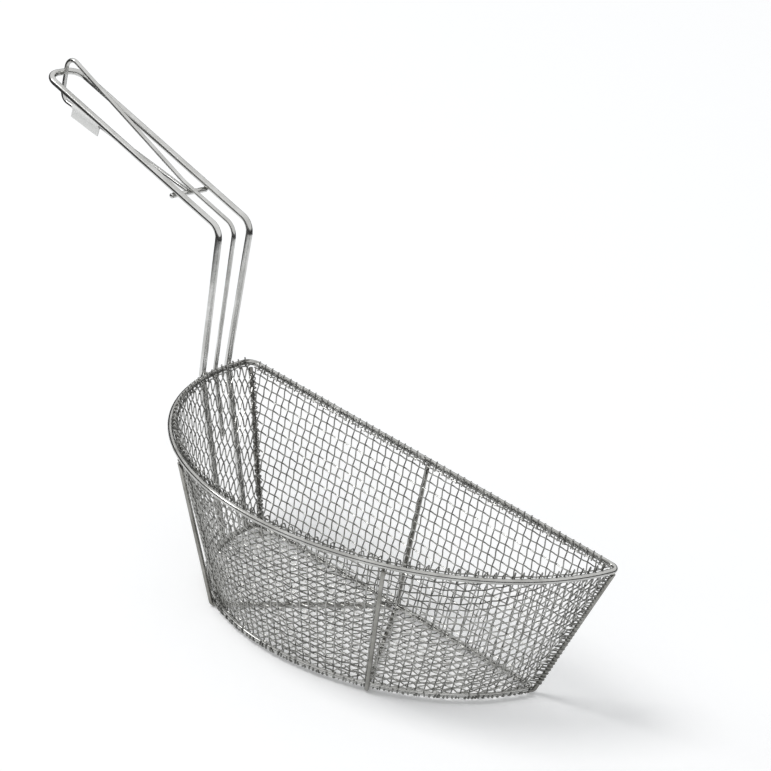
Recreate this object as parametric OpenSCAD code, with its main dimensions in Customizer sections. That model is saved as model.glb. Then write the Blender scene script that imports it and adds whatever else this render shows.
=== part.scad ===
// Half-round wire mesh basket for a deep fryer, with a long bent wire handle.
// Axis of the round kettle is Z, the flat wall faces +Y, the handle reaches to -X.
// The basket stands on Z = 0. Sizes are in millimetres.

/* [Basket] */
// Radius of the rim wire's centre line
rim_radius = 178; // [150:1:205]
// Radius of the base hoop's centre line
base_radius = 136; // [115:1:145]
// Height of the rim wire above the base hoop
basket_depth = 107; // [80:1:140]
// How far the flat wall leans in at the base
wall_lean = 8; // [4:0.5:14]
// Bend radius of the rim and the hoop at their corners
corner_radius = 7; // [5:0.5:12]

/* [Frame wires] */
// Diameter of the rim wire
rim_wire_d = 4; // [3:0.2:5]
// Diameter of the base hoop wire
hoop_wire_d = 3.2; // [2.6:0.2:4]
// Diameter of the cradle wires and the corner posts
cradle_wire_d = 3.2; // [2.6:0.2:4]
// Angle of the front cradle wire from the middle of the round side
front_spread = 35; // [20:0.5:45]
// Angle of the side cradle wire on the other side of that middle
side_spread = 26.5; // [20:0.5:45]
// Length of the post's hook under the base
post_hook = 12; // [9:0.5:16]

/* [Mesh] */
// Thickness of the mesh
mesh_t = 1.6; // [1.2:0.1:2]
// Width of the bars between the gaps
mesh_bar = 2.4; // [1.8:0.1:3.2]
// Spacing of the gaps in the flat wall and the base
mesh_pitch = 19.05; // [18:0.05:26]
// Number of gaps along the round wall
round_gaps = 24; // [16:1:24]
// Number of rows of gaps in the round wall
round_rows = 5; // [3:1:5]
// Height of the raised weave ridge on the bars
ridge_h = 0.5; // [0.3:0.1:0.8]
// Height of the folded hem at the rim
hem_h = 7; // [5:0.5:10]
// Thickness of the folded hem
hem_t = 2.8; // [2.2:0.1:3.4]
// How far the hem stands above the rim wire's centre
hem_rise = 4.4; // [3:0.2:6]

/* [Handle] */
// Diameter of the outer handle wire
handle_wire_d = 4.8; // [4:0.2:6]
// Diameter of the inner handle wire
inner_wire_d = 3.2; // [2.6:0.2:4.2]
// Diameter of the crossbar
crossbar_d = 3.8; // [3:0.2:4.4]
// Distance of the handle's middle from the kettle's split line
handle_offset = 35; // [30:1:50]
// Width of the handle between wire centres
handle_width = 30; // [26:1:38]
// Height of the handle's bends above the rim
handle_rise = 107; // [80:1:130]
// Distance of the handle's bends from the kettle's axis
handle_reach = 182; // [180:1:190]
// Length of the grip along its slope
grip_length = 198; // [150:1:230]
// Slope of the grip above the horizontal
grip_slope = 12.6; // [8:0.1:20]
// Inner radius of the grip's bends
grip_bend = 11; // [8:0.5:16]
// Corner radius at the grip's end
tip_radius = 10.5; // [8:0.5:12]
// Distance of the crossbar from the bends
crossbar_at = 49; // [35:1:70]
// How far the crossbar's free end stands out past the outer wire's middle
crossbar_stub = 3; // [2.5:0.5:8]
// Height of the inner loop's top corner above the outer wire's tip
loop_rise = 15.4; // [12:0.2:20]
// Height of the inner loop between its corners
loop_drop = 33.8; // [30:0.2:38]
// Bend radius at the inner loop's corners
loop_bend = 7; // [5:0.5:9]
// Share of the wall that the inner wire's leg covers
inner_leg_share = 0.42; // [0.3:0.01:0.6]

/* [Label] */
// Length of the blank label
label_length = 30; // [20:1:40]
// Height of the blank label
label_height = 8; // [6:0.5:14]
// Thickness of the folded label
label_t = 0.8; // [0.6:0.1:1.2]
// Distance of the label from the handle's tip
label_at = 13; // [12:0.5:30]

/* [Fits] */
// Clearance between wires that are welded side by side
weld_gap = 0.05; // [0.02:0.01:0.1]

/* [Hidden] */
$fn = 48;

wire_color = [0.72, 0.72, 0.70];
mesh_color = [0.60, 0.60, 0.58];
label_color = [0.93, 0.93, 0.91];

// Sides of a round wire, and the steps of its bends and of the rings in degrees
wire_sides = 12;
bend_step = 15;
ring_step = 4;

// Levels of the wires over the table, where a flat side of each under wire lies
cradle_z = cradle_wire_d / 2 * cos(180 / wire_sides);
mesh_low_z = 2 * cradle_z + weld_gap;
hoop_z = mesh_low_z + hoop_wire_d / 2;
rim_z = hoop_z + basket_depth;

// Slopes of the round wall and the flat wall
round_slope = atan((rim_radius - base_radius) / basket_depth);
flat_slope = atan(wall_lean / basket_depth);
flat_length = norm([wall_lean, basket_depth]);

// A wire that passes the hoop clears it by this much, and bends round it below
hoop_pass = ((hoop_wire_d + cradle_wire_d) / 2 + weld_gap) / cos(round_slope);
foot_bend = (hoop_wire_d + cradle_wire_d) / 2;

// Bend radius where the handle's legs pass the rim
leg_bend = 8;

// Width of a weave ridge and its place on its bar
ridge_w = mesh_bar / 2;
ridge_in = mesh_bar / 4;

// How far the straight sides of the rim's ring fall inside its arc
ring_sag = rim_radius * (1 - cos(ring_step / 2));

// The mesh lies inside the frame wires, clear of the rim by a weld gap
mesh_inset = rim_wire_d / 2 + ring_sag + weld_gap;
hem_bottom = hem_rise - hem_h;

// Angles of the flats that trim the mesh to the frame's bent corners
corner_flats = [15, 45, 75];

// Middle of the handle and the level of its bends
handle_y = -handle_offset;
bend_z = rim_z + handle_rise;
tip_x = -handle_reach - grip_length * cos(grip_slope);

function unit(v) = v / norm(v);
function vert(p, z) = [p[0], p[1], z];

// The point at the height z on the line through a and b
function down_to(a, b, z) = a + (b - a) * (a[2] - z) / (a[2] - b[2]);

// Point on the kettle's circle of the given radius at a distance y from its middle
function on_circle(radius, y) = [-sqrt(radius * radius - y * y), y];

// Radius and Y of the frame's centre surfaces at the height z
function frame_radius(z) = base_radius + (z - hoop_z) * tan(round_slope);
function frame_y(z) = -wall_lean + (z - hoop_z) * tan(flat_slope);

// Points of the round bend of a wire at b, between a and c
function bend_points(a, b, c, r) =
    let (
        u = unit(b - a),
        w = unit(c - b),
        turn = acos(max(-1, min(1, u * w))),
        centre = b + unit(w - u) * r / cos(turn / 2),
        x = unit(b - u * r * tan(turn / 2) - centre),
        steps = max(2, ceil(turn / bend_step))
    )
    [for (i = [0 : steps]) centre + r * (x * cos(turn * i / steps) + u * sin(turn * i / steps))];

// Centre line of a wire through the points, with a bend radius for each inner point
function wire_path(points, radii) =
    let (last = len(points) - 1)
    concat(
        [points[0]],
        [for (i = [1 : last - 1]) each bend_points(points[i - 1], points[i], points[i + 1], radii[i])],
        [points[last]]
    );

// Direction of a path at each of its points
function path_directions(path) =
    let (last = len(path) - 1)
    [for (i = [0 : last]) unit(path[min(i + 1, last)] - path[max(i - 1, 0)])];

// A side vector for each point, carried along the path without twisting
function carried_sides(directions, side, i = 0) =
    i == len(directions)
        ? []
        : let (next = unit(side - directions[i] * (side * directions[i])))
            concat([next], carried_sides(directions, next, i + 1));

// Level side vectors, which turn a flat side of the wire down where it runs level
function level_sides(directions) = [for (along = directions) unit(cross([0, 0, 1], along))];

// Corners of the wire's section at one point of its path, with a flat side up and down
function ring_points(centre, side, direction, d) =
    let (up = cross(direction, side), step = 360 / wire_sides)
    [for (k = [0 : wire_sides - 1]) let (a = (k + 0.5) * step) centre + d / 2 * (side * cos(a) + up * sin(a))];

// Triangles between the rings a and b
function band_faces(a, b) =
    [
        for (k = [0 : wire_sides - 1])
            let (next = (k + 1) % wire_sides, p = a * wire_sides, q = b * wire_sides)
            each [[p + k, q + next, p + next], [p + k, q + k, q + next]]
    ];

// A bent wire with flat ends
module bent_wire(points, radii, d, level = false) {
    path = wire_path(points, radii);
    last = len(path) - 1;
    directions = path_directions(path);
    sides = level ? level_sides(directions) : carried_sides(directions, [0, 1, 0]);
    polyhedron(
        points = [for (i = [0 : last]) each ring_points(path[i], sides[i], directions[i], d)],
        faces = concat(
            [[for (k = [0 : wire_sides - 1]) k]],
            [for (i = [0 : last - 1]) each band_faces(i, i + 1)],
            [[for (k = [wire_sides - 1 : -1 : 0]) last * wire_sides + k]]
        )
    );
}

// Distance from the middle to the centre of a ring's corner bend
function corner_x(radius, flat_y) =
    sqrt(pow(radius - corner_radius, 2) - pow(flat_y - corner_radius, 2));

// A closed half-round ring of wire with its flat side at flat_y
module half_ring(radius, flat_y, d, z) {
    r = corner_radius;
    centre_x = corner_x(radius, flat_y);
    dip = atan((r - flat_y) / centre_x);
    arc_steps = round(180 / ring_step);
    corner_steps = round(90 / bend_step);
    path = concat(
        [
            for (i = [0 : arc_steps])
                let (a = 180 + dip + (180 - 2 * dip) * i / arc_steps)
                [radius * cos(a), radius * sin(a), z]
        ],
        [
            for (i = [1 : corner_steps])
                let (a = -dip + (90 + dip) * i / corner_steps)
                [centre_x + r * cos(a), flat_y - r + r * sin(a), z]
        ],
        [
            for (i = [0 : corner_steps - 1])
                let (a = 90 + (90 + dip) * i / corner_steps)
                [-centre_x + r * cos(a), flat_y - r + r * sin(a), z]
        ]
    );
    count = len(path);
    polyhedron(
        points = [
            for (i = [0 : count - 1])
                let (along = unit(path[(i + 1) % count] - path[(i + count - 1) % count]))
                each ring_points(path[i], [0, 0, 1], along, d)
        ],
        faces = [for (i = [0 : count - 1]) each band_faces(i, (i + 1) % count)]
    );
}

// The cone between two distances from the frame's centre surface, cut at two heights
module round_skin(outer_inset, inner_inset, low_z, high_z) {
    shift_out = outer_inset / cos(round_slope);
    shift_in = inner_inset / cos(round_slope);
    rotate([0, 0, 180])
        rotate_extrude(angle = 180)
            polygon([
                [frame_radius(low_z) - shift_out, low_z],
                [frame_radius(high_z) - shift_out, high_z],
                [frame_radius(high_z) - shift_in, high_z],
                [frame_radius(low_z) - shift_in, low_z]
            ]);
}

// The full cone inside the round wall, used to trim the flat pieces
module round_inside(inset, low_z, high_z) {
    shift = inset / cos(round_slope);
    translate([0, 0, low_z])
        cylinder(r1 = frame_radius(low_z) - shift, r2 = frame_radius(high_z) - shift, h = high_z - low_z, $fn = 96);
}

// Everything on the basket's side of a plane parallel to the flat wall
module behind_flat_wall(inset) {
    size = 3 * rim_radius;
    translate([0, -wall_lean, hoop_z])
        rotate([-flat_slope, 0, 0])
            translate([-size / 2, -inset - size, -size / 2])
                cube(size);
}

// Everything outside the frame's bent corners, past flats that stay inside the bends
module outside_corners() {
    size = 2 * rim_radius;
    reach = (corner_radius - mesh_inset) * cos(corner_flats[0]);
    for (side = [-1, 1], angle = corner_flats) {
        out = [side * cos(angle), sin(angle), 0];
        low = [side * corner_x(base_radius, -wall_lean), -wall_lean - corner_radius, hoop_z];
        high = [side * corner_x(rim_radius, 0), -corner_radius, rim_z];
        translate(low + out * reach)
            rotate([0, atan((high - low) * out / basket_depth), atan2(out[1], out[0])])
                translate([0, -size / 2, -size / 2])
                    cube(size);
    }
}

module rim_wire() {
    color(wire_color)
        half_ring(rim_radius, 0, rim_wire_d, rim_z);
}

module base_hoop() {
    color(wire_color)
        half_ring(base_radius, -wall_lean, hoop_wire_d, hoop_z);
}

// The point of a frame corner's centre line that lies furthest out
function corner_point(side, radius, flat_y, z) =
    let (out = corner_radius / sqrt(2))
    [side * (corner_x(radius, flat_y) + out), flat_y - corner_radius + out, z];

// A post runs from under the rim's corner, outside the hoop, and hooks under the base
module corner_post(side) {
    under_rim = (rim_wire_d + cradle_wire_d) / 2 + weld_gap;
    top = corner_point(side, rim_radius, 0, rim_z) - [0, 0, under_rim];
    out = [side, 1, 0] / sqrt(2);
    beside_hoop = corner_point(side, base_radius, -wall_lean, hoop_z) + out * hoop_pass;
    foot = down_to(top, beside_hoop, cradle_z);
    tail = foot - out * post_hook;
    color(wire_color)
        bent_wire([top, foot, tail], [0, foot_bend, 0], cradle_wire_d, true);
}

module front_post() {
    corner_post(1);
}

module back_post() {
    corner_post(-1);
}

// Ends of a cradle wire on the round side, at an angle from the middle of it
function cradle_top(angle) =
    [rim_radius * sin(angle), -rim_radius * cos(angle), rim_z - (rim_wire_d + cradle_wire_d) / 2 - weld_gap];
function cradle_foot(angle) =
    let (pass = base_radius + hoop_pass, beside_hoop = [pass * sin(angle), -pass * cos(angle), hoop_z])
    down_to(cradle_top(angle), beside_hoop, cradle_z);

// The cradle wires meet at the foot of the flat wall's middle
flat_top = [0, 0, rim_z - (rim_wire_d + cradle_wire_d) / 2 - weld_gap];
flat_foot = down_to(flat_top, [0, hoop_pass - wall_lean, hoop_z], cradle_z);

// Down the flat wall, under the base and up the round wall
module front_cradle_wire() {
    color(wire_color)
        bent_wire(
            [flat_top, flat_foot, cradle_foot(front_spread), cradle_top(front_spread)],
            [0, foot_bend, foot_bend, 0],
            cradle_wire_d,
            true
        );
}

// Butts against the front cradle wire and runs up the round wall on the other side
module side_cradle_wire() {
    foot = cradle_foot(-side_spread);
    along = unit(foot - flat_foot);
    between = acos(along * unit(cradle_foot(front_spread) - flat_foot));
    start = flat_foot + along * (cradle_wire_d + weld_gap) / sin(between);
    color(wire_color)
        bent_wire([start, foot, cradle_top(-side_spread)], [0, foot_bend, 0], cradle_wire_d, true);
}

// Sheet with the square gaps of the flat wall, in the wall's own plane
module flat_wall_mesh() {
    low = (mesh_low_z - hoop_z) / cos(flat_slope);
    high = flat_length + hem_bottom - weld_gap;
    rows = floor((high - low - mesh_bar) / mesh_pitch);
    row_pitch = (high - low - mesh_bar) / rows;
    columns = floor(rim_radius / mesh_pitch);
    edge_inset = (mesh_inset + 2 * mesh_t + mesh_bar) / cos(round_slope);
    color(mesh_color)
        difference() {
            intersection() {
                flat_frame()
                    difference() {
                        union() {
                            translate([-rim_radius, -mesh_inset - mesh_t, low])
                                cube([2 * rim_radius, mesh_t, high - low]);
                            for (row = [1 : rows])
                                translate([
                                    -rim_radius,
                                    -mesh_inset - mesh_t - ridge_h,
                                    low + row * row_pitch + ridge_in
                                ])
                                    cube([2 * rim_radius, ridge_h + mesh_t / 2, ridge_w]);
                        }
                        for (row = [0 : rows - 1]) {
                            gap_low = low + mesh_bar + row * row_pitch;
                            edge = flat_half_width(gap_low) - edge_inset;
                            for (column = [-columns : columns])
                                clipped_gap(column * mesh_pitch, edge, gap_low, row_pitch - mesh_bar);
                        }
                    }
                round_inside(
                    mesh_inset + mesh_t + ridge_h + weld_gap,
                    mesh_low_z / 2,
                    rim_z + hem_bottom - weld_gap
                );
            }
            outside_corners();
        }
}

// The flat wall's own frame: X along it, Y outwards, Z up its slope
module flat_frame() {
    translate([0, -wall_lean, hoop_z])
        rotate([-flat_slope, 0, 0])
            children();
}

function flat_half_width(s) =
    let (z = hoop_z + s * cos(flat_slope), r = frame_radius(z), y = frame_y(z))
    sqrt(r * r - y * y);

// One gap of the flat wall, cut short at the wall's sloping edge
module clipped_gap(x, edge, low, height) {
    half = (mesh_pitch - mesh_bar) / 2;
    left = max(x - half, -edge);
    right = min(x + half, edge);
    if (right - left > mesh_bar)
        translate([left, -mesh_inset - 2 * mesh_t, low])
            cube([right - left, 3 * mesh_t, height]);
}

// Angle that the flat wall and a bar beside it take from the round wall's end
function wall_end_angle(z) =
    asin((mesh_inset + mesh_t + mesh_bar - frame_y(z)) / (frame_radius(z) - mesh_inset - mesh_t));

// Conical sheet with its rows of gaps
module round_wall_mesh() {
    low = mesh_low_z;
    high = rim_z + hem_bottom - weld_gap;
    row_pitch = (high - low - mesh_bar) / round_rows;
    color(mesh_color)
        intersection() {
            difference() {
                union() {
                    round_skin(mesh_inset, mesh_inset + mesh_t, low, high);
                    for (row = [1 : round_rows]) {
                        ridge_z = low + row * row_pitch + ridge_in;
                        round_skin(mesh_inset + mesh_t / 2, mesh_inset + mesh_t + ridge_h, ridge_z, ridge_z + ridge_w);
                    }
                }
                for (row = [0 : round_rows - 1]) {
                    gap_low = low + mesh_bar + row * row_pitch;
                    end_angle = wall_end_angle(gap_low);
                    turn = (180 - 2 * end_angle) / round_gaps;
                    bar_turn = asin(mesh_bar / frame_radius(gap_low));
                    for (column = [0 : round_gaps - 1])
                        round_gap(
                            end_angle + column * turn + bar_turn / 2,
                            turn - bar_turn,
                            gap_low,
                            row_pitch - mesh_bar
                        );
                }
                outside_corners();
            }
            behind_flat_wall(mesh_inset);
        }
}

// One gap of the round wall, between two angles and two heights
module round_gap(angle, width, low, height) {
    through = 2 * mesh_t;
    rotate([0, 0, 180 + angle])
        rotate_extrude(angle = width)
            polygon([
                [frame_radius(low) - mesh_inset + through, low],
                [frame_radius(low + height) - mesh_inset + through, low + height],
                [frame_radius(low + height) - mesh_inset - 2 * through, low + height],
                [frame_radius(low) - mesh_inset - 2 * through, low]
            ]);
}

// Half-round plate with its square gaps, between the two walls
module base_mesh() {
    radius = frame_radius(mesh_low_z) - (mesh_inset + mesh_t) / cos(round_slope) - weld_gap;
    front = frame_y(mesh_low_z) - (mesh_inset + mesh_t) / cos(flat_slope) - weld_gap;
    gap = mesh_pitch - mesh_bar;
    columns = floor(radius / mesh_pitch);
    rows = floor((radius + front) / mesh_pitch);
    color(mesh_color)
        difference() {
            intersection() {
                translate([0, 0, mesh_low_z])
                    cylinder(r = radius, h = mesh_t, $fn = 96);
                translate([-radius, front - 2 * radius, mesh_low_z - mesh_t])
                    cube([2 * radius, 2 * radius, 3 * mesh_t]);
            }
            intersection() {
                translate([0, 0, mesh_low_z - mesh_t])
                    cylinder(r = radius - mesh_bar, h = 4 * mesh_t, $fn = 96);
                for (row = [0 : rows], column = [-columns : columns])
                    translate([
                        column * mesh_pitch - gap / 2,
                        front - mesh_bar - gap - row * mesh_pitch,
                        mesh_low_z - mesh_t / 2
                    ])
                        cube([gap, gap, 2 * mesh_t]);
            }
        }
}

// Folded edge of the flat mesh, standing over the rim
module flat_rim_hem() {
    color(mesh_color)
        difference() {
            intersection() {
                flat_frame()
                    translate([-rim_radius, -mesh_inset - hem_t, flat_length + hem_bottom])
                        cube([2 * rim_radius, hem_t, hem_h]);
                round_inside(mesh_inset + hem_t + weld_gap, rim_z - 2 * hem_h, rim_z + 2 * hem_h);
            }
            outside_corners();
        }
}

// Folded edge of the round mesh
module round_rim_hem() {
    color(mesh_color)
        difference() {
            intersection() {
                round_skin(mesh_inset, mesh_inset + hem_t, rim_z + hem_bottom, rim_z + hem_rise);
                behind_flat_wall(mesh_inset);
            }
            outside_corners();
        }
}

// Place on the grip: s along it from the bends, h above its outer wires
function grip_point(s, h) =
    [
        -handle_reach - s * cos(grip_slope) + h * sin(grip_slope),
        handle_y,
        bend_z + s * sin(grip_slope) + h * cos(grip_slope)
    ];

// A handle leg passes outside the rim and follows the round wall down to the height z
function leg_rim_point(y, d) =
    vert(on_circle(rim_radius + ((rim_wire_d + d) / 2 + weld_gap) / cos(round_slope), y), rim_z);
function leg_low_point(y, d, frame_d, z) =
    vert(on_circle(frame_radius(z) + ((frame_d + d) / 2 + weld_gap) / cos(round_slope), y), z);

// One long wire: up a leg, round the grip and down the other leg
module handle_outer_wire() {
    side = [0, handle_width / 2, 0];
    left_y = handle_y - handle_width / 2;
    right_y = handle_y + handle_width / 2;
    leg_end = hoop_z - hoop_wire_d / 4;
    color(wire_color)
        bent_wire(
            [
                leg_low_point(left_y, handle_wire_d, hoop_wire_d, leg_end),
                leg_rim_point(left_y, handle_wire_d),
                grip_point(0, 0) - side,
                grip_point(grip_length, 0) - side,
                grip_point(grip_length, 0) + side,
                grip_point(0, 0) + side,
                leg_rim_point(right_y, handle_wire_d),
                leg_low_point(right_y, handle_wire_d, hoop_wire_d, leg_end)
            ],
            [0, leg_bend, grip_bend, tip_radius, tip_radius, grip_bend, leg_bend, 0],
            handle_wire_d
        );
}

// Heights over the outer wires' plane of the crossbar and of the wire that lies on it
crossbar_h = -(handle_wire_d + crossbar_d) / 2 - weld_gap;
inner_h = crossbar_h + (crossbar_d + inner_wire_d) / 2 + weld_gap;

// Corners of the inner loop, which closes against the inside of the outer wire's tip
loop_x = tip_x + (handle_wire_d + inner_wire_d) / 2 + weld_gap;
loop_top = [loop_x, handle_y, grip_point(grip_length, 0)[2] + loop_rise];
loop_low = loop_top - [0, 0, loop_drop];
loop_home = grip_point(crossbar_at, crossbar_h);
loop_end = loop_home + unit(loop_low - loop_home) * (crossbar_d / 2 + weld_gap);

// Up the middle, over the crossbar, round the tip and back to the crossbar
module handle_inner_wire() {
    leg_end = rim_z - inner_leg_share * basket_depth;
    color(wire_color)
        bent_wire(
            [
                leg_low_point(handle_y, inner_wire_d, rim_wire_d, leg_end),
                leg_rim_point(handle_y, inner_wire_d),
                grip_point(0, inner_h),
                grip_point(crossbar_at + 2 * crossbar_d, inner_h),
                loop_top,
                loop_low,
                loop_end
            ],
            [0, leg_bend, grip_bend, 2 * grip_bend, loop_bend, loop_bend, 0],
            inner_wire_d
        );
}

module handle_crossbar() {
    middle = grip_point(crossbar_at, crossbar_h);
    half = handle_width / 2;
    color(wire_color)
        translate(middle + [0, half + handle_wire_d / 4, 0])
            rotate([90, 0, 0])
                cylinder(d = crossbar_d, h = 2 * half + handle_wire_d / 4 + crossbar_stub);
}

// Blank folded label that hangs on the lower strand of the inner loop
module handle_label() {
    sleeve_r = inner_wire_d / 2 + weld_gap;
    back = unit(loop_home - loop_low);
    start = loop_low + back * label_at;
    tilt = asin(back[2]);
    color(label_color)
        translate(start)
            rotate([0, 90 - tilt, 0])
                linear_extrude(label_length) {
                    difference() {
                        circle(sleeve_r + label_t);
                        circle(sleeve_r);
                    }
                    translate([sleeve_r + label_t / 2, -label_t / 2])
                        square([label_height - sleeve_r, label_t]);
                }
}

rim_wire();
base_hoop();
front_post();
back_post();
front_cradle_wire();
side_cradle_wire();
flat_wall_mesh();
round_wall_mesh();
base_mesh();
flat_rim_hem();
round_rim_hem();
handle_outer_wire();
handle_inner_wire();
handle_crossbar();
handle_label();
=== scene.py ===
"""Dresses the half-round wire fryer basket: smooth wires, woven mesh, folded hem and blank tag."""

import logging
import math
from dataclasses import dataclass, field
from enum import Enum

import bpy
import numpy as np
from mathutils import Matrix, Vector

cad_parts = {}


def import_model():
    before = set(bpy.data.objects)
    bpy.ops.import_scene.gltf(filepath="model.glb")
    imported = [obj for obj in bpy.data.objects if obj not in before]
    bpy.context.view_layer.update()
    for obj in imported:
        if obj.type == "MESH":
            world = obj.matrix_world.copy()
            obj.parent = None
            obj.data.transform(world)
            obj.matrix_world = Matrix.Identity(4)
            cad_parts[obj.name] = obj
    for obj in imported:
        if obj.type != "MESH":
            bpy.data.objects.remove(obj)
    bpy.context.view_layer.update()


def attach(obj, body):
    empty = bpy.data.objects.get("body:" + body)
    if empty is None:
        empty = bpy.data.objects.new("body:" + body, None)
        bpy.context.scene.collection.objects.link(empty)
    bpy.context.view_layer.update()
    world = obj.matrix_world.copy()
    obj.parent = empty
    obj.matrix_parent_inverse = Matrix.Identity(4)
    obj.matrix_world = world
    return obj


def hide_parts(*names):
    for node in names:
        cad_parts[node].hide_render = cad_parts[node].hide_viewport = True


LOG = logging.getLogger("fryer_basket")
MM = 0.001
Array = np.ndarray


class Family(Enum):
    """The two sets of wires of a plain weave."""

    WARP = 1
    WEFT = -1


class Slot(Enum):
    """Names of material slots."""

    WIRE = "plated_wire"
    MESH = "plated_mesh"
    LABEL = "label_film"


def unit(v: Array) -> Array:
    """The vector v at length one."""
    return v / np.linalg.norm(v)


@dataclass(frozen=True)
class BasketSizes:
    """The basket's sizes in millimetres, as in the solid model."""

    rim_radius: float = 178.0
    base_radius: float = 136.0
    depth: float = 107.0
    lean: float = 8.0
    corner: float = 7.0
    rim_d: float = 4.0
    hoop_d: float = 3.2
    cradle_d: float = 3.2
    front_spread: float = 35.0
    side_spread: float = 26.5
    post_hook: float = 12.0
    weld: float = 0.05
    sheet: float = 1.6
    pitch: float = 6.35
    mesh_wire: float = 1.0

    @property
    def cradle_z(self) -> float:
        """Height of the cradle wires' centre line."""
        return self.cradle_d / 2 * math.cos(math.radians(15))

    @property
    def base_z(self) -> float:
        """Height of the underside of the base mesh."""
        return 2 * self.cradle_z + self.weld

    @property
    def hoop_z(self) -> float:
        """Height of the base hoop."""
        return self.base_z + self.hoop_d / 2

    @property
    def rim_z(self) -> float:
        """Height of the rim wire."""
        return self.hoop_z + self.depth

    @property
    def slope(self) -> float:
        """Slope of the round wall from the vertical, in radians."""
        return math.atan((self.rim_radius - self.base_radius) / self.depth)

    @property
    def flat_slope(self) -> float:
        """Slope of the flat wall from the vertical, in radians."""
        return math.atan(self.lean / self.depth)

    @property
    def hoop_pass(self) -> float:
        """How far outside the hoop's centre a passing wire's centre lies."""
        return ((self.hoop_d + self.cradle_d) / 2 + self.weld) / math.cos(self.slope)

    @property
    def foot_bend(self) -> float:
        """Bend radius of a wire that turns under the base."""
        return (self.hoop_d + self.cradle_d) / 2

    @property
    def mesh_inset(self) -> float:
        """Distance of the mesh's mid surface from the frame's centre surface."""
        return self.rim_d / 2 + 0.108 + self.weld + self.sheet / 2

    def radius_at(self, z: float) -> float:
        """Radius of the round wall's frame surface at the height z."""
        return self.base_radius + (z - self.hoop_z) * math.tan(self.slope)

    def flat_y_at(self, z: float) -> float:
        """Y of the flat wall's frame surface at the height z."""
        return -self.lean + (z - self.hoop_z) * math.tan(self.flat_slope)


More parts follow.
